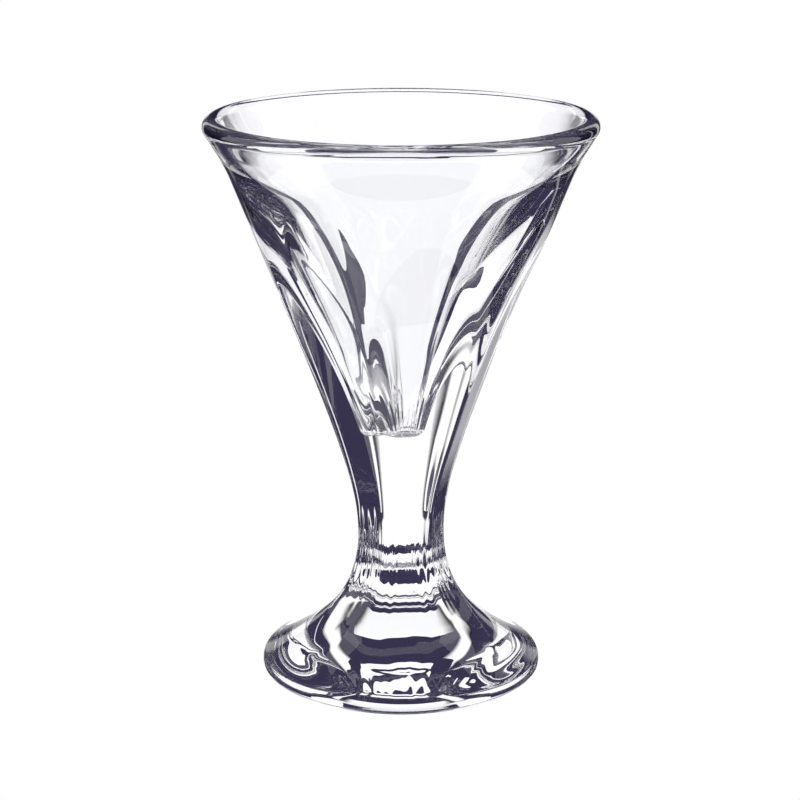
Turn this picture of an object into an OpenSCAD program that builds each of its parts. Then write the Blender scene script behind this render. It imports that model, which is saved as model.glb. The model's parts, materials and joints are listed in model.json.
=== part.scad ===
// Parfait glass: a tall flared bowl on a solid six-sided stem and a low trumpet foot.
// Millimetres, Z up. The glass stands on Z = 0 with its axis on the Z axis.
// Bowl, stem and foot are fused in the real glass, and meet here face to face.

/* [Overall] */
// Height from the table to the top of the rim
glass_h = 135; // [115:1:170]
// Diameter over the bead of the rim
rim_d = 90.3; // [80:0.1:105]
// Diameter over the rounded edge of the foot
foot_d = 67.6; // [56:0.1:80]
// Diameter of the stem at its waist, over the corners
waist_d = 20.8; // [16:0.1:26]
// Height of the waist above the table
waist_z = 34; // [28:0.5:42]

/* [Rim] */
// Thickness of the rounded bead along the rim
bead_t = 4.6; // [3.6:0.1:6]
// Height of the flared lip, from the bowl's straight wall to the rim
lip_h = 13.8; // [10:0.1:18]
// How far the straight wall stays inside the rim's widest point
lip_reach = 5.9; // [4.5:0.1:8]
// Lean of the lip's outside where it runs into the bead
lip_lean = 30; // [24:1:42]

/* [Bowl] */
// Depth of the hollow below the rim
hollow_depth = 73; // [60:1:80]
// Diameter of the level floor of the hollow
floor_d = 3; // [2:0.1:8]
// Radius of the rounding between the floor and the wall of the hollow
floor_round = 3; // [2:0.1:5]
// Thickness of solid glass between the floor and the stem
floor_t = 12; // [8:0.5:16]
// Lean of the bowl's outside where it meets the lip
bowl_lean = 21.5; // [18:0.1:28]
// Lean of the wall of the hollow just above its floor
hollow_lean = 14; // [10:0.1:24]
// Lean of the wall of the hollow just under the rim
mouth_lean = 22; // [16:0.1:28]

/* [Panels] */
// Number of flat panels round the stem and the bowl
panels = 6; // [5:1:8]
// Angle by which the front panel is turned to the right
panel_turn = 8; // [0:1:30]
// Distance from the rim down to the pointed tops of the panels
panel_drop = 17.7; // [15:0.1:30]
// Height of the pointed top of a panel
arch_h = 32; // [20:0.1:40]
// Height above the table of the pointed lower end of a panel
toe_z = 7; // [6.6:0.1:8]
// Height of the pointed lower end of a panel
toe_h = 16; // [12:0.1:18]

/* [Foot] */
// Height of the foot up to the stem
foot_h = 20; // [16:0.5:24]
// Height above the table at which the foot is widest
edge_z = 3.1; // [2:0.1:4]
// Radius of the small rounding on top of the foot's edge
edge_r = 1.4; // [0.8:0.1:2]
// Diameter of the level ring the glass stands on, where the underside starts to curve up
base_d = 45.4; // [38:0.1:54]
// Slope of the foot's top where it leaves the rounded edge
foot_slope = 27; // [20:1:34]
// How far the six lobes of the foot's outline stand out
lobe = 0.35; // [0.1:0.05:0.8]
// Diameter of the shallow dish under the foot
dish_d = 28; // [16:1:36]
// Depth of the dish under the foot
dish_h = 0.3; // [0.2:0.1:1.5]

/* [Hidden] */
$fn = 96;
glass_colour = [0.86, 0.88, 0.94, 0.5];
// One overrun for every cut
over = 1;
// Steps along each long curve and each round
curve_steps = 16;
round_steps = 8;

rim_r = rim_d / 2;
foot_r = foot_d / 2;
waist_r = waist_d / 2;
base_r = base_d / 2;
bead_r = bead_t / 2;
dish_r = dish_d / 2;
wide = rim_d + foot_d;

// Where the lip starts, and the middle of the bead's round section
lip_start = [rim_r - lip_reach, glass_h - lip_h];
bead_mid = [rim_r - bead_r, glass_h - bead_r];
edge_mid = [foot_r - edge_r, edge_z];
base_mid = [base_r, edge_z];
waist = [waist_r, waist_z];

floor_z = glass_h - hollow_depth;
bowl_z = floor_z - floor_t;
floor_mid = [floor_d / 2, floor_z + floor_round];
tip_z = glass_h - panel_drop;

// Reach of the curves' handles, as shares of the height or width that each curve spans
foot_reach_share = 0.80;
foot_drop_share = 0.30;
waist_rise_share = 0.17;
bowl_back_share = 0.66;
lip_share = 0.34;
mouth_share = 0.21;
hollow_share = 0.37;

// A panel cuts a little past the round form's corners, so no sliver of it stays between two
half_panel = 180 / panels + 0.6;
// Steps along a panel's pointed end, from past its point to its full width
end_steps = [-0.125, 0.125, 0.25, 0.5, 0.75, 1];
// Free length between an end's last step and the straight part's first, as a share of the end
end_gap_share = 0.05;

// Points on an ellipse round the point m, with the half widths across and up
function oval(m, across, up, a) = m + [across * cos(a), up * sin(a)];
function oval_arc(m, across, up, a0, a1) = [
    for (i = [0:round_steps]) oval(m, across, up, a0 + (a1 - a0) * i / round_steps)
];
function around(m, r, a) = oval(m, r, r, a);
function arc(m, r, a0, a1) = oval_arc(m, r, r, a0, a1);

// Direction in the radius and height plane that leans outwards by angle a while it rises
function leaning(a) = [tan(a), 1];

// Cubic curve from a to d with the handles b and c, without its first point
function curve(a, b, c, d) = [
    for (i = [1:curve_steps])
        let (t = i / curve_steps, u = 1 - t)
            u * u * u * a + 3 * u * u * t * b + 3 * u * t * t * c + t * t * t * d
];

// The edge of the foot is left where its tangent has the slope of the foot's top
edge_end = around(edge_mid, edge_r, 90 - foot_slope);
lip_end = around(bead_mid, bead_r, -lip_lean);
mouth = around(bead_mid, bead_r, 180 - mouth_lean);
hollow_end = around(floor_mid, floor_round, -hollow_lean);

foot_span = foot_r - waist_r;
foot_curve = curve(
    edge_end,
    edge_end + foot_reach_share * foot_span * [-1, tan(foot_slope)],
    waist - [0, foot_drop_share * waist_z],
    waist
);

bowl_span = lip_start[1] - waist_z;
bowl_curve = curve(
    waist,
    waist + [0, waist_rise_share * bowl_span],
    lip_start - bowl_back_share * bowl_span * leaning(bowl_lean),
    lip_start
);

lip_span = lip_end[1] - lip_start[1];
lip_curve = curve(
    lip_start,
    lip_start + lip_share * lip_span * leaning(bowl_lean),
    lip_end - lip_share * lip_span * leaning(lip_lean),
    lip_end
);

hollow_span = mouth[1] - hollow_end[1];
hollow_curve = curve(
    mouth,
    mouth - mouth_share * hollow_span * leaning(mouth_lean),
    hollow_end + hollow_share * hollow_span * leaning(hollow_lean),
    hollow_end
);

// The dish is an arc through its deepest point on the axis and its rim on the table
dish_r_of_arc = (dish_r * dish_r + dish_h * dish_h) / (2 * dish_h);
dish_mid = [0, dish_h - dish_r_of_arc];
dish_edge_angle = asin(dish_r / dish_r_of_arc);
dish_arc = arc(dish_mid, dish_r_of_arc, 90, 90 - dish_edge_angle);

// The long curves of the outside, from the foot's edge to the lip
sides = concat([edge_end], foot_curve, bowl_curve);

outline = concat(
    dish_arc,
    oval_arc(base_mid, foot_r - base_r, edge_z, -90, 0),
    arc(edge_mid, edge_r, 0, 90 - foot_slope),
    foot_curve,
    bowl_curve,
    lip_curve,
    arc(bead_mid, bead_r, -lip_lean, 180 - mouth_lean),
    hollow_curve,
    arc(floor_mid, floor_round, -hollow_lean, -90),
    [[0, floor_z]]
);

// Radius of the round form at height z, between the foot's edge and the lip
by_height = [for (p = sides) [p[1], p[0]]];
function radius(z) = lookup(z, by_height);

// Distance of a panel from the axis at height z, a step from its pointed end, where step 1 has the
// panel's full width and the sine rounds the end off into the straight edges. Past the end, at
// steps below 0, the cut leaves the glass as steeply as it came out of it.
function half_angle(step) = half_panel * sin(90 * step);
function apothem(z, step) = radius(z) * (step < 0 ? 2 - cos(half_angle(step)) : cos(half_angle(step)));
function panel_point(z, step) = [apothem(z, step), z];

arch_base = tip_z - arch_h;
toe_top = toe_z + toe_h;
straight_low = toe_top + end_gap_share * toe_h;
straight_high = arch_base - end_gap_share * arch_h;
panel_line = concat(
    [for (step = end_steps) panel_point(toe_z + toe_h * step, step)],
    [for (p = sides) if (p[1] > straight_low && p[1] < straight_high) panel_point(p[1], 1)],
    [for (i = [len(end_steps) - 1:-1:0]) panel_point(tip_z - arch_h * end_steps[i], end_steps[i])]
);
panel_cut = concat(
    [[wide, panel_line[0][1]]],
    panel_line,
    [[wide, panel_line[len(panel_line) - 1][1]]]
);

// The glass turned round its axis, before the panels are pressed into it
module round_glass() {
    rotate_extrude()
        polygon(outline);
}

// What the flat panels take off the round form
module panel_cuts() {
    for (i = [0:panels - 1])
        rotate([0, 0, panel_turn - 90 + 360 * i / panels])
            rotate([90, 0, 0])
                linear_extrude(height = wide, center = true)
                    polygon(panel_cut);
}

// What the six faint flats between the foot's lobes take off its edge
module lobe_cuts() {
    for (i = [0:panels - 1])
        rotate([0, 0, panel_turn - 90 + 360 * (i + 0.5) / panels])
            translate([foot_r - lobe, -wide / 2, -over])
                cube([foot_r, wide, edge_z + edge_r + over]);
}

// The whole glass between the heights low and high
module slice(low, high) {
    color(glass_colour)
        intersection() {
            difference() {
                round_glass();
                panel_cuts();
                lobe_cuts();
            }
            translate([-wide / 2, -wide / 2, low])
                cube([wide, wide, high - low]);
        }
}

// Hollow upper vessel with its lip, its bead and its thick, panelled lower wall
module bowl() {
    slice(bowl_z, glass_h + over);
}

// Solid six-sided waist between bowl and foot
module stem() {
    slice(foot_h, bowl_z);
}

// Trumpet foot with its rounded, faintly six-lobed edge, its upswept underside and its shallow dish
module foot() {
    slice(-over, foot_h);
}

bowl();
stem();
foot();
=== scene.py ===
# %% [markdown]
# A parfait glass is one pressed piece of clear glass: a trumpet foot, a solid six-sided stem and a
# thick conical bowl with a rounded bead along its rim. The frame holds it as three solids that meet
# face to face. Light that passes such a glass must not cross a wall between two of them, so this
# lesson makes its whole skin as a single closed surface and lets it stand for all three.

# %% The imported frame
import json
import math

import bpy
import numpy as np
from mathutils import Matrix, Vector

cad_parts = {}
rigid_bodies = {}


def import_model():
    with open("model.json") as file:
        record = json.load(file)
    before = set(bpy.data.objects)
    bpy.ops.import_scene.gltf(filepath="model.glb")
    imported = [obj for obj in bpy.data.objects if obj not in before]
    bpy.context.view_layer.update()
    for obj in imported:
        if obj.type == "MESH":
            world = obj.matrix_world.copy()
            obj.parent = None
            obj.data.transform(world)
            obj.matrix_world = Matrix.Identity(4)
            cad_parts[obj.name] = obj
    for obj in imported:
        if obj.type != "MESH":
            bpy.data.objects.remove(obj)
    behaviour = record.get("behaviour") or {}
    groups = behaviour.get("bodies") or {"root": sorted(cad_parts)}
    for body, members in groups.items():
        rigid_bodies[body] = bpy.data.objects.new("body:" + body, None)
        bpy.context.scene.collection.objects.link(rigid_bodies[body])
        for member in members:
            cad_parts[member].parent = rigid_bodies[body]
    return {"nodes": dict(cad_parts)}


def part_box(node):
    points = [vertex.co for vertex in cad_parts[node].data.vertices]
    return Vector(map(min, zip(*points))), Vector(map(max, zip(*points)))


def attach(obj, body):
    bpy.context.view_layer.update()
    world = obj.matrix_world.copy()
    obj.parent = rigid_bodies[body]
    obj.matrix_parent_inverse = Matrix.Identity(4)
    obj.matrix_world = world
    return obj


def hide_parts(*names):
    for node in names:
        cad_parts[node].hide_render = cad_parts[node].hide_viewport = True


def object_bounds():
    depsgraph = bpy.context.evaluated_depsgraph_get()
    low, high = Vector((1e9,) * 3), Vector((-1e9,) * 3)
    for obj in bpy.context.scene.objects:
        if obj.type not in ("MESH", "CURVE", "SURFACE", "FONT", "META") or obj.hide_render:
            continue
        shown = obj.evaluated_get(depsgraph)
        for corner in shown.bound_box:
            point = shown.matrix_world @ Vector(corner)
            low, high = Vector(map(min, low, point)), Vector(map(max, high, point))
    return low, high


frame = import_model()
cad_low, cad_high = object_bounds()
print("nodes", sorted(frame["nodes"]), "height in metres", round(cad_high[2], 4))

# %% [markdown]
# All sizes are millimetres, as on a maker's drawing, and one factor turns them into metres at the
# end. The height and the two diameters could be typed like the rest, but they are read from the
# frame, so that the skin follows the solids. It stays a hair inside their box. The waist, and the
# sizes that later cells name, are driving sizes of the construction, which the frame can't tell.
# A name in capitals is a typed value, and the others are worked out.

# %% Height, diameters and waist
MM = 0.001
INSET = 0.02
foot_low, foot_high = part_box("foot")
bowl_low, bowl_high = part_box("bowl")
glass_h = cad_high[2] / MM
rim_r = (bowl_high[0] - bowl_low[0]) / 2 / MM - INSET
foot_r = (foot_high[0] - foot_low[0]) / 2 / MM - INSET
WAIST_R = 10.4
WAIST_Z = 34.0
print("rim radius", round(rim_r, 2), "foot radius", round(foot_r, 2), "waist radius", WAIST_R)

# %% [markdown]
# The glass stands on a level ring. Inside the ring its base is a very shallow dish, and outside it
# the underside curves up to a rounded edge. A turned form like this could be modelled by hand and
# spun. Here it starts as an outline in the plane of radius and height, a chain of simple pieces.
# The rounds that a tool leaves in a mould are arcs in it, because each then has one true radius.


# %% Underside and edge of the foot
def arc(middle, across, up, start, stop, steps):
    """Points at middle + (across * cos a, up * sin a), with a from start to stop in degrees."""
    turned = np.radians(np.linspace(start, stop, steps + 1))
    return np.array(middle) + np.stack([across * np.cos(turned), up * np.sin(turned)], axis=1)


FOOT_SLOPE = 27.0
ROUND_STEPS = 12
EDGE_STEPS = 6
# The foot stands on the ring from DISH_R out to BASE_R, and is widest at the height EDGE_Z
BASE_R = 22.7
EDGE_Z = 3.1
EDGE_R = 1.4
DISH_R = 14.0
DISH_H = 0.3

# A circle through the dish's rim and its deepest point has the radius (r^2 + h^2) / 2h
dish_arc_r = (DISH_R**2 + DISH_H**2) / (2 * DISH_H)
dish_angle = math.degrees(math.asin(DISH_R / dish_arc_r))
dish_mid = [0, DISH_H - dish_arc_r]
dish = arc(dish_mid, dish_arc_r, dish_arc_r, 90, 90 - dish_angle, ROUND_STEPS)[1:]
under = arc([BASE_R, EDGE_Z], foot_r - BASE_R, EDGE_Z, -90, 0, ROUND_STEPS)
edge = arc([foot_r - EDGE_R, EDGE_Z], EDGE_R, EDGE_R, 0, 90 - FOOT_SLOPE, EDGE_STEPS)[1:]
base = np.concatenate([dish, under, edge])
print("the foot's top leaves the edge at radius and height", edge[-1].round(2))

# %% [markdown]
# From its edge the foot sweeps up like the bell of a trumpet into the waist, where the solid stem
# is narrowest. Such a sweep could be traced point by point. A cubic curve with two handles is
# easier to steer: each handle lies on the tangent that the sweep has at that end, so it leaves the
# edge with the foot's slope and comes upright into the waist.


# %% Trumpet of the foot
def sweep(a, b, c, d, steps):
    """Cubic curve from a to d with the handles b and c: the four points weighted by (1-t)^3,
    3(1-t)^2 t, 3(1-t) t^2 and t^3. The first point is left out, as the chain has it already."""
    t = np.linspace(0, 1, steps + 1)[1:, None]
    u = 1 - t
    return u**3 * a + 3 * u * u * t * b + 3 * u * t * t * c + t**3 * d


# Reach of each handle, as a share of the width or height between the sweep's ends
FOOT_SHARE = 0.80
WAIST_DROP_SHARE = 0.30
TRUMPET_STEPS = 52
waist = np.array([WAIST_R, WAIST_Z])
down_foot = np.array([-1.0, math.tan(math.radians(FOOT_SLOPE))])
trumpet = sweep(
    edge[-1],
    edge[-1] + FOOT_SHARE * (foot_r - WAIST_R) * down_foot,
    waist - [0, WAIST_DROP_SHARE * WAIST_Z],
    waist,
    TRUMPET_STEPS,
)
print("trumpet from height", round(edge[-1][1], 2), "to", WAIST_Z)

# %% [markdown]
# A round bead runs along the rim. It keeps a pressed rim from chipping and is kind to the lips. It
# could be a torus joined to the wall, but two surfaces that cross would show inside clear glass.
# As one more arc of the outline, it meets the wall on both sides without a step.

# %% Bead along the rim
LIP_LEAN = 30.0
MOUTH_LEAN = 22.0
BEAD_STEPS = 22
BEAD_R = 2.3
bead_mid = [rim_r - BEAD_R, glass_h - BEAD_R]
bead = arc(bead_mid, BEAD_R, BEAD_R, -LIP_LEAN, 180 - MOUTH_LEAN, BEAD_STEPS)
print("bead", 2 * BEAD_R, "mm thick, met by the lip at", bead[0].round(2))

# %% [markdown]
# The outside of the bowl rises from the waist as a long, nearly straight cone, and flares a little
# more in the lip under the bead. A cone with a bevel would show a line where they meet. Two more
# sweeps that share one tangent at the start of the lip keep it smooth. The steps are closest where
# the light bends most.


# %% Outside of the bowl and its lip
def leaning(degrees):
    """Direction (tan a, 1), which leans outwards by the angle a while it rises by one."""
    return np.array([math.tan(math.radians(degrees)), 1.0])


BOWL_LEAN = 21.5
WAIST_RISE_SHARE = 0.17
BOWL_BACK_SHARE = 0.66
LIP_SHARE = 0.34
BOWL_STEPS = 76
LIP_STEPS = 12
# The lip starts this far below the rim, and this far inside the rim's widest point
LIP_H = 13.8
LIP_REACH = 5.9

lip_start = np.array([rim_r - LIP_REACH, glass_h - LIP_H])
bowl_span = lip_start[1] - WAIST_Z
bowl_side = sweep(
    waist,
    waist + [0, WAIST_RISE_SHARE * bowl_span],
    lip_start - BOWL_BACK_SHARE * bowl_span * leaning(BOWL_LEAN),
    lip_start,
    BOWL_STEPS,
)
lip_span = bead[0][1] - lip_start[1]
lip_side = sweep(
    lip_start,
    lip_start + LIP_SHARE * lip_span * leaning(BOWL_LEAN),
    bead[0] - LIP_SHARE * lip_span * leaning(LIP_LEAN),
    bead[0],
    LIP_STEPS,
)
side = np.concatenate([trumpet, bowl_side, lip_side])
print("outside rises to", round(lip_start[1], 2), "as the bowl and to", round(bead[0][1], 2))

# %% [markdown]
# The hollow is what the plunger of the press leaves: a cone with a small rounded end, well above
# the stem, so that the lower wall is thick and heavy. It could be cut out of the bowl with a
# Boolean, which leaves thin, uneven faces along the cut. Here the outline simply goes on from the
# bead, down the wall and round into the floor, and the chain is complete.

# %% Hollow of the bowl
HOLLOW_LEAN = 14.0
MOUTH_SHARE = 0.21
FLOOR_SHARE = 0.37
HOLLOW_STEPS = 44
FLOOR_STEPS = 8
HOLLOW_DEPTH = 73.0
# Half width of the level floor, and the radius of the round between it and the wall
FLOOR_R = 1.5
FLOOR_ROUND = 3.0

floor_z = glass_h - HOLLOW_DEPTH
floor_mid = [FLOOR_R, floor_z + FLOOR_ROUND]
hollow_end = arc(floor_mid, FLOOR_ROUND, FLOOR_ROUND, -HOLLOW_LEAN, -90, FLOOR_STEPS)
hollow_span = bead[-1][1] - hollow_end[0][1]
hollow_side = sweep(
    bead[-1],
    bead[-1] - MOUTH_SHARE * hollow_span * leaning(MOUTH_LEAN),
    hollow_end[0] + FLOOR_SHARE * hollow_span * leaning(HOLLOW_LEAN),
    hollow_end[0],
    HOLLOW_STEPS,
)
outline = np.concatenate([base, side, bead[1:], hollow_side, hollow_end[1:]])
print("outline rows", len(outline), "floor of the hollow at", round(floor_z, 2))

# %% [markdown]
# Six flats are pressed into the outside, with pointed toes on the foot and pointed arches under the
# lip. They could be cut with six blocks, but a cut is sharp and these edges are soft. So each flat
# is a formula: at the distance a from the axis it has the radius a / cos(t), where t is the angle
# from its middle. Where it should reach the angle d, a is the round radius times cos(d), and a
# pointed arch is simply a d that shrinks to nothing with height. The smaller of flat and round
# wins, with a soft minimum that rounds the edge as fire polishing does. The flats don't quite
# reach their neighbours, and turn a little to the right as they rise.


# %% Flats and their edges
def soft_min(a, b, k):
    """The smaller of a and b, lowered by h^2 k / 4 where they differ by less than k, with
    h = 1 - |a - b| / k, so that the two surfaces meet in a round of about that width."""
    h = np.clip(1 - np.abs(a - b) / k, 0, 1)
    return np.minimum(a, b) - h * h * k / 4


PANELS = 6
half_flat = math.radians(180 / PANELS)
# Turn of the flats at the foot, and from this height up
TURN_FOOT = math.radians(1.0)
TURN_TIPS = math.radians(11.0)
TURN_TOP = 60.0
# Share of the way to its neighbours that a flat reaches, and what is added to it above the waist
FULL_SHARE = 0.76
WAIST_WIDER = 0.17
WIDEST_Z = 42.0
WIDER_SPAN = 14.0
# Width of the soft edge, and its largest share of the flat's depth
EDGE_ROUND = 2.0
ROUND_SHARE = 0.6
# Keeps the soft minimum from dividing by nothing where there is no flat
SMALLEST_ROUND = 1e-6
# Heights of the pointed tips and toes, and how far each runs to its full width
TIP_Z = 117.3
TOE_Z = 7.0
ARCH_H = 32.0
TOE_H = 16.0


def panelled(radius, height, angle):
    """Radius of the pressed form. For each height, r is the least of (tip - z) / arch height,
    (z - toe) / toe height and 1. The share is (full share + w) sin(90 r degrees), where
    w = wider exp(-((z - widest) / span)^2) spreads the flats above the waist. The middle of a
    flat lies at the round radius times cos(180 share / panels), and the round of its edge is at
    most a share of its depth."""
    turn = TURN_FOOT + (TURN_TIPS - TURN_FOOT) * np.clip(height / TURN_TOP, 0, 1)
    share = np.clip(np.minimum((TIP_Z - height) / ARCH_H, (height - TOE_Z) / TOE_H), 0, 1)
    wider = WAIST_WIDER * np.exp(-(((height - WIDEST_Z) / WIDER_SPAN) ** 2))
    share = (FULL_SHARE + wider) * np.sin(0.5 * math.pi * share)
    t = np.abs((angle - turn + half_flat) % (2 * half_flat) - half_flat)
    flat = radius * np.cos(half_flat * share)
    k = np.maximum(np.minimum(EDGE_ROUND, ROUND_SHARE * (radius - flat)), SMALLEST_ROUND)
    pressed = soft_min(flat / np.cos(t), flat / np.cos(2 * half_flat - t), k)
    return np.where(share > 0, soft_min(pressed, radius, k), radius)


COLUMNS = 384
angle = np.linspace(0, 2 * math.pi, COLUMNS, endpoint=False)[None, :]
radius = np.repeat(outline[:, :1], COLUMNS, axis=1)
height = np.repeat(outline[:, 1:], COLUMNS, axis=1)
outside = slice(len(base), len(base) + len(side))
pressed_radius = panelled(radius[outside], height[outside], angle)
print("deepest flat in mm", round(float((radius[outside] - pressed_radius).max()), 2))
radius[outside] = pressed_radius

# %% [markdown]
# The edge of the foot isn't quite round: it stands out in six faint lobes, one under each flat.
# Fine upright marks of the mould, a fifth of a millimetre deep or so, stand round the waist and
# low in the hollow, where thick glass enlarges them. A bump texture could draw both, but it would
# leave the outline untouched, so they are waves in the radius. Three waves whose counts share no
# factor make marks that don't look regular.

# %% Lobes of the foot and marks of the mould
LOBE_SHARE = 0.005
LOBE_TOP = 12.0
MARK_DEEP = 0.08
MARK_MID = 28.0
MARK_SPAN = 7.0
FLUTE_DEEP = 0.10
FLUTE_SPAN = 9.0
# Count round the glass, shift in radians and relative size of each wave
WAVES = [(29, 0.4, 1.0), (37, 2.1, 0.7), (47, 4.0, 0.5)]

low = np.clip(1 - height / LOBE_TOP, 0, 1)
radius = radius * (1 + LOBE_SHARE * (np.cos(PANELS * (angle - TURN_FOOT)) - 1) * low)
marks = sum(size * np.cos(count * angle + shift) for count, shift, size in WAVES)
at_waist = MARK_DEEP * np.exp(-(((height - MARK_MID) / MARK_SPAN) ** 2))
at_floor = FLUTE_DEEP * np.exp(-(((height - floor_z) / FLUTE_SPAN) ** 2))
at_floor = at_floor * np.clip(radius / FLOOR_R - 1, 0, 1)
outer_rows = len(base) + len(side) + len(bead) - 1
is_outer = (np.arange(len(outline)) < outer_rows)[:, None]
radius = radius + np.where(is_outer, at_waist, at_floor) * marks
print("marks at most", round(float(np.abs(marks).max() * FLUTE_DEEP), 2), "mm deep")

# %% [markdown]
# The skin is the outline carried round the axis. A Screw modifier does that for a plain round form,
# but can't press flats into it. So the skin is a grid with a row for each point of the outline and
# a column for each direction, and the cells above have only changed the radii in it. One point on
# the axis closes it under the foot, and another on the floor of the hollow. Smooth shading lets the
# light bend as if the small faces were one curve. The skin stands for the three solids, which stay
# in the physics.


# %% Skin of the glass
def skin(radius, height, angle, first_pole, last_pole):
    """Vertices (r sin a, -r cos a, z) on a grid of rows and columns, so that angle 0 faces the
    viewer and grows to the right, closed by one point at each end of the axis."""
    grid = np.stack([radius * np.sin(angle), -radius * np.cos(angle), height], axis=-1)
    rows, columns = radius.shape
    points = np.concatenate([grid.reshape(-1, 3), [[0, 0, first_pole], [0, 0, last_pole]]])
    i, j = np.meshgrid(np.arange(rows - 1), np.arange(columns), indexing="ij")
    k = (j + 1) % columns
    quads = np.stack([i, i, i + 1, i + 1], -1) * columns + np.stack([j, k, k, j], -1)
    j = np.arange(columns)
    k = (j + 1) % columns
    last = (rows - 1) * columns
    under = np.stack([np.full(columns, rows * columns), k, j], -1)
    inside = np.stack([np.full(columns, rows * columns + 1), last + j, last + k], -1)
    return points, quads.reshape(-1, 4).tolist() + under.tolist() + inside.tolist()


points, faces = skin(radius, height, angle, DISH_H, floor_z)
glass_mesh = bpy.data.meshes.new("glass_skin")
glass_mesh.from_pydata((points * MM).tolist(), [], faces)
glass_mesh.shade_smooth()
glass = bpy.data.objects.new("glass_skin", glass_mesh)
bpy.context.scene.collection.objects.link(glass)
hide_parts("bowl", "stem", "foot")
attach(glass, "root")
print("skin of", len(points), "points and", len(faces), "faces")

# %% [markdown]
# A closed skin whose faces point outwards holds a volume, and that of the real glass follows from
# its weight. It could be read from a tool in the viewport. Here each triangle adds the sixth part
# of a . (b x c), the volume between it and the origin, so a hole or a face turned the wrong way
# would show at once as a wrong sum.

# %% Volume of the glass
MM3_PER_ML = 1000
glass_mesh.calc_loop_triangles()
corners = np.array([tuple(t.vertices) for t in glass_mesh.loop_triangles])
a, b, c = (points[corners[:, n]] for n in range(3))
volume = np.einsum("ij,ij->i", a, np.cross(b, c)).sum() / 6 / MM3_PER_ML
print("triangles", len(corners), "volume in ml", round(volume, 1))

# %% [markdown]
# Clear soda glass lets nearly all light through, bends it by the index 1.52 and mirrors a little. A
# Glass shader does this too, but the Principled one keeps its index and transmission when it is
# exported. A base colour just short of white gives the faint blue of thick glass, since it tints
# the light each time it crosses the skin. Pressed glass is never quite even, so a very weak bump
# of slow, upright noise gives it the waves of the mould.

# %% Clear pressed glass
GLASS_COLOUR = (0.985, 0.987, 1.0, 1.0)
GLASS_INDEX = 1.52
WAVES_PER_METRE = (40, 40, 14)
BUMP_STRENGTH = 0.06
BUMP_HEIGHT = 0.0005

clear_glass = bpy.data.materials.new("clear_pressed_glass")
clear_glass.use_nodes = True
tree = clear_glass.node_tree
shader = tree.nodes["Principled BSDF"]
shader.inputs["Base Color"].default_value = GLASS_COLOUR
shader.inputs["Roughness"].default_value = 0.0
shader.inputs["IOR"].default_value = GLASS_INDEX
shader.inputs["Transmission Weight"].default_value = 1.0
place = tree.nodes.new("ShaderNodeTexCoord")
stretch = tree.nodes.new("ShaderNodeMapping")
stretch.inputs["Scale"].default_value = WAVES_PER_METRE
waves = tree.nodes.new("ShaderNodeTexNoise")
waves.inputs["Scale"].default_value = 1.0
waves.inputs["Detail"].default_value = 1.0
bump = tree.nodes.new("ShaderNodeBump")
bump.inputs["Strength"].default_value = BUMP_STRENGTH
bump.inputs["Distance"].default_value = BUMP_HEIGHT
tree.links.new(place.outputs["Object"], stretch.inputs["Vector"])
tree.links.new(stretch.outputs["Vector"], waves.inputs["Vector"])
tree.links.new(waves.outputs["Fac"], bump.inputs["Height"])
tree.links.new(bump.outputs["Normal"], shader.inputs["Normal"])
glass_mesh.materials.append(clear_glass)
print("glass with index", GLASS_INDEX)

# %% [markdown]
# The photograph looks down on the glass by about 16 degrees, through a long lens that keeps foot
# and rim nearly parallel. The camera could be set by eye. Here its distance and height are counted
# in heights of the glass, and its tilt is worked out so that it looks at the middle of the glass.
# A pan of half a milliradian sets the glass one pixel to the side, as in the photograph.

# %% Camera
CAMERA_FAR = 3.5
CAMERA_UP = 1.53
CAMERA_PAN = 0.0005
SENSOR_MM = 36.0
LENS_MM = 94.05

camera_far = CAMERA_FAR * glass_h
camera_up = CAMERA_UP * glass_h
down = math.atan2(camera_up - glass_h / 2, camera_far)
camera_data = bpy.data.cameras.new("camera")
camera_data.sensor_width = SENSOR_MM
camera_data.lens = LENS_MM
camera = bpy.data.objects.new("camera", camera_data)
bpy.context.scene.collection.objects.link(camera)
bpy.context.scene.camera = camera
camera.location = (0, -camera_far * MM, camera_up * MM)
camera.rotation_euler = (math.pi / 2 - down, 0, CAMERA_PAN)
bpy.context.view_layer.update()
print("camera looks down by", round(math.degrees(down), 2), "degrees")

# %% [markdown]
# Clear glass has no look of its own: it shows what stands round it. Lamps would only put small
# glints in it, so the rig is made of large shining cards, bent round the glass like parts of an
# upright tube. They hang on the camera, as they would stand round a turntable, so the glass is lit
# alike from every side, and the camera itself doesn't see them. Their sizes are in metres, their
# azimuths in degrees from straight behind the glass, positive to the right, and their heights are
# counted from the table.


# %% Shining cards
def plain_light(name, colour, strength):
    """A surface that only shines, evenly, whatever falls on it."""
    made = bpy.data.materials.new(name)
    made.use_nodes = True
    nodes = made.node_tree.nodes
    nodes.clear()
    shine = nodes.new("ShaderNodeEmission")
    shine.inputs["Color"].default_value = (*colour, 1.0)
    shine.inputs["Strength"].default_value = strength
    out = nodes.new("ShaderNodeOutputMaterial")
    made.node_tree.links.new(shine.outputs["Emission"], out.inputs["Surface"])
    return made


def level_row(azimuths, level, far):
    """Points (far sin a, far cos a, level) on an upright tube round the glass, a in degrees."""
    a = np.radians(azimuths)
    return np.stack([far * np.sin(a), far * np.cos(a), np.full(len(a), level)], axis=1)


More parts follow.
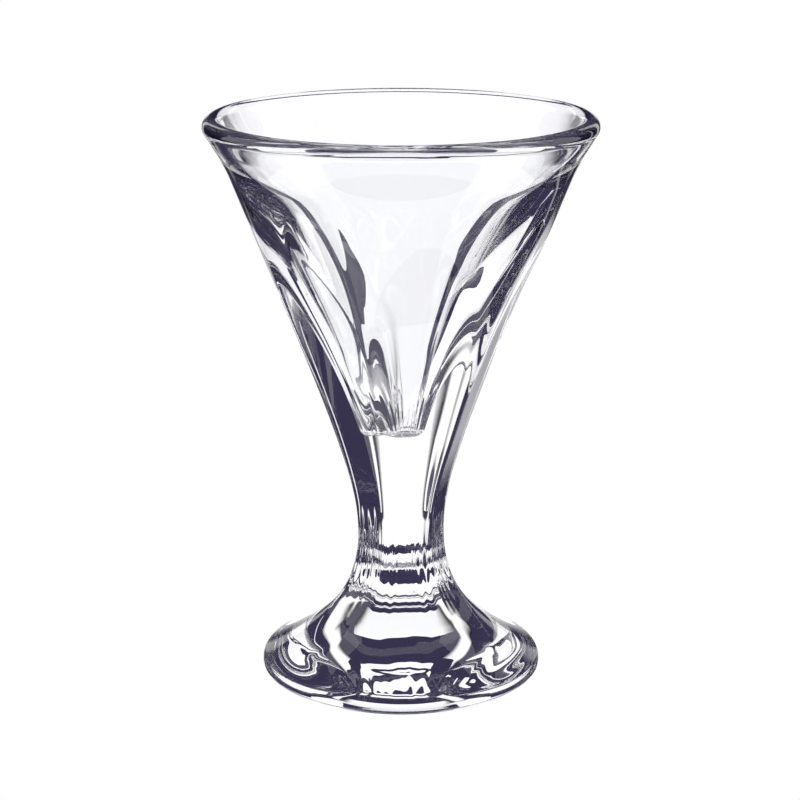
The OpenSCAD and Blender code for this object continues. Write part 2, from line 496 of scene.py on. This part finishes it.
def hang_card(name, rows, light):
    """Card of quads between rows of equally many points, lowest row first. Point k of row i has
    the number i n + k, so a quad joins the numbers p, p + 1, p + n + 1 and p + n."""
    n = len(rows[0])
    i, k = np.meshgrid(np.arange(len(rows) - 1), np.arange(n - 1), indexing="ij")
    p = (i * n + k).ravel()
    quads = np.stack([p, p + 1, p + n + 1, p + n], axis=1)
    card_mesh = bpy.data.meshes.new(name)
    card_mesh.from_pydata(np.concatenate(rows).tolist(), [], quads.tolist())
    card_mesh.materials.append(light)
    card = bpy.data.objects.new(name, card_mesh)
    bpy.context.scene.collection.objects.link(card)
    card.parent = camera
    card.matrix_parent_inverse = camera.matrix_world.inverted()
    card.visible_camera = False
    return card_mesh


print("cards will hang on the", camera.name)

# %% [markdown]
# A bright field stands behind the glass, with darkness to both sides. That draws the edges of clear
# glass as dark lines on a white page. An even card would do, but its hard border would repeat in
# every facet, and the photograph's lines are soft there. So its light fades out towards both ends,
# held as one number per point in an attribute of the mesh. Below, where the foot looks through the
# table, the field is wider.


# %% Field behind the glass
FIELD_POINTS = 49


def bright_field(name, middle, levels, far, fade, colour, strength):
    """Field round the azimuth middle. Each of its levels is a height and half of its angle. With s
    from -1 at one end to 1 at the other, g = (1 - |s|) / fade, at most 1, and the light is its
    strength times 3 g^2 - 2 g^3."""
    s = np.linspace(-1, 1, FIELD_POINTS)
    rows = [level_row(middle + half * s, level, far) for level, half in levels]
    light = plain_light(name, colour, strength)
    field_mesh = hang_card(name, rows, light)
    glow = np.clip((1 - np.abs(s)) / fade, 0, 1)
    glow = np.tile(glow * glow * (3 - 2 * glow), len(levels))
    field_mesh.attributes.new("glow", "FLOAT", "POINT").data.foreach_set("value", glow)
    nodes = light.node_tree.nodes
    read = nodes.new("ShaderNodeAttribute")
    read.attribute_name = "glow"
    times = nodes.new("ShaderNodeMath")
    times.operation = "MULTIPLY"
    times.inputs[1].default_value = strength
    light.node_tree.links.new(read.outputs["Fac"], times.inputs[0])
    light.node_tree.links.new(times.outputs["Value"], nodes["Emission"].inputs["Strength"])


FIELD_FAR = 0.80
FIELD_FADE = 0.4
FIELD_COLOUR = (0.985, 0.985, 1.0)
FIELD_STRENGTH = 1.12
# Height and half of the angle that the field takes up there
FIELD_LEVELS = [(-0.35, 34), (-0.17, 34), (-0.14, 22), (-0.10, 20), (0.2, 20)]
bright_field(
    "field_behind",
    middle=0,
    levels=FIELD_LEVELS,
    far=FIELD_FAR,
    fade=FIELD_FADE,
    colour=FIELD_COLOUR,
    strength=FIELD_STRENGTH,
)
print("field behind reaches from", FIELD_LEVELS[0][0], "to", FIELD_LEVELS[-1][0], "m")

# %% [markdown]
# Thick slanting walls bend much of the view far down. With nothing there, the dark strokes along
# the flats of the bowl would run on to the hollow's floor. A lit floor could shorten them too, but
# it would shine straight up through the foot and wash out its lines. So a low ring runs all the
# way round instead, and a low card behind brings it a little nearer to the field.

# %% Low cards
CARD_FAR = 0.79
CARD_POINTS = 25
WHITE = (1.0, 1.0, 1.0)
WHITE_STRENGTH = 1.15


def curved_card(name, light, start, stop, lowest, highest):
    """Even card from the azimuth start to the azimuth stop, between two heights."""
    azimuths = np.linspace(start, stop, CARD_POINTS)
    rows = [level_row(azimuths, level, CARD_FAR) for level in (lowest, highest)]
    hang_card(name, rows, light)


white = plain_light("white_light", WHITE, WHITE_STRENGTH)
curved_card("low_ring", white, start=-180, stop=180, lowest=-1.2, highest=-0.55)
curved_card("low_behind", white, start=-45, stop=45, lowest=-0.55, highest=-0.45)
print("low cards at", CARD_FAR, "m from the axis")

# %% [markdown]
# Two upright windows stand just outside the field. They draw the thin light lines beside the white
# core of the stem and the pale arcs in the foot, and a third, narrow one gives the right wall its
# own bright line. Strip lamps could do it, but the lines in the photograph have soft sides, so
# these are small fields with fading ends.

# %% Windows at the sides
WINDOW_FADE = 0.6
# Name, azimuth of the middle, and levels as height and half angle
WINDOWS = [
    ("near_right", 28, [(-0.1, 5), (0.3, 5), (0.5, 8)]),
    ("window_right", 43, [(-0.35, 2), (0.15, 2), (0.4, 0.5)]),
    ("near_left", -24, [(-0.1, 4), (0.3, 4), (0.5, 8)]),
]
for name, middle, levels in WINDOWS:
    bright_field(name, middle, levels, CARD_FAR, WINDOW_FADE, WHITE, WHITE_STRENGTH)
print("windows", len(WINDOWS))

# %% [markdown]
# The foot mirrors what is high up behind the glass: in the photograph, level strips of light
# across its front. So two narrow cards hang there. Tall cards on both sides light the flanks of the
# foot and leave the upper sides of the bowl dark. One large soft box would give as much light, but
# it would wash out the dark lines that the form is drawn with.

# %% Strips above and cards at the sides
curved_card("strip", white, start=-14, stop=14, lowest=0.60, highest=0.72)
curved_card("upper_strip", white, start=-30, stop=30, lowest=0.78, highest=0.86)
curved_card("high_right", white, start=60, stop=100, lowest=0.1, highest=1.2)
curved_card("high_left", white, start=-100, stop=-60, lowest=0.1, highest=1.2)
print("objects on the camera", len(camera.children))

# %% [markdown]
# The table is a plain white sheet. A real one would be lit and would catch a shadow. This one only
# shines, as the photograph's white page does, and only the camera sees it, so that the light of the
# field behind reaches the foot from below as it does through a lit table. It lies a little below
# the foot, so that the two faces don't share one plane.

# %% Table
TABLE_HALF = 2.0
TABLE_DROP = 0.0002
TABLE_STRENGTH = 1.0
square = np.array([(-1, -1, 0), (1, -1, 0), (1, 1, 0), (-1, 1, 0)])
table_mesh = bpy.data.meshes.new("table")
table_mesh.from_pydata((TABLE_HALF * square).tolist(), [], [(0, 1, 2, 3)])
table_mesh.materials.append(plain_light("white_table", WHITE, TABLE_STRENGTH))
table = bpy.data.objects.new("table", table_mesh)
bpy.context.scene.collection.objects.link(table)
table.location.z = -TABLE_DROP
table.visible_transmission = False
table.visible_glossy = False
table.visible_diffuse = False
print("table", 2 * TABLE_HALF, "m wide")

# %% [markdown]
# Round the rig it is nearly dark, with the violet grey that the photograph shows in the edges of
# the glass, and yet its page is white. A white backdrop would light the glass all over. So the
# world tells rays apart: those that come straight from the camera find white, and those that the
# glass has bent or mirrored find the dark. Light crosses thick glass many times, which needs many
# bounces, and the Standard view keeps white white.

# %% World and view
DARK = (0.040, 0.034, 0.075, 1.0)
CROSSINGS = 32
MIRRORINGS = 16
world = bpy.data.worlds.new("surround")
bpy.context.scene.world = world
world.use_nodes = True
sky = world.node_tree
dark_side = sky.nodes["Background"]
dark_side.inputs["Color"].default_value = DARK
page = sky.nodes.new("ShaderNodeBackground")
page.inputs["Color"].default_value = (*WHITE, 1.0)
ray_kind = sky.nodes.new("ShaderNodeLightPath")
choose = sky.nodes.new("ShaderNodeMixShader")
sky.links.new(ray_kind.outputs["Is Camera Ray"], choose.inputs["Fac"])
sky.links.new(dark_side.outputs["Background"], choose.inputs[1])
sky.links.new(page.outputs["Background"], choose.inputs[2])
sky.links.new(choose.outputs["Shader"], sky.nodes["World Output"].inputs["Surface"])

view = bpy.context.scene
view.view_settings.view_transform = "Standard"
view.cycles.max_bounces = CROSSINGS
view.cycles.transmission_bounces = CROSSINGS
view.cycles.glossy_bounces = MIRRORINGS
print("light crosses the glass up to", CROSSINGS, "times")
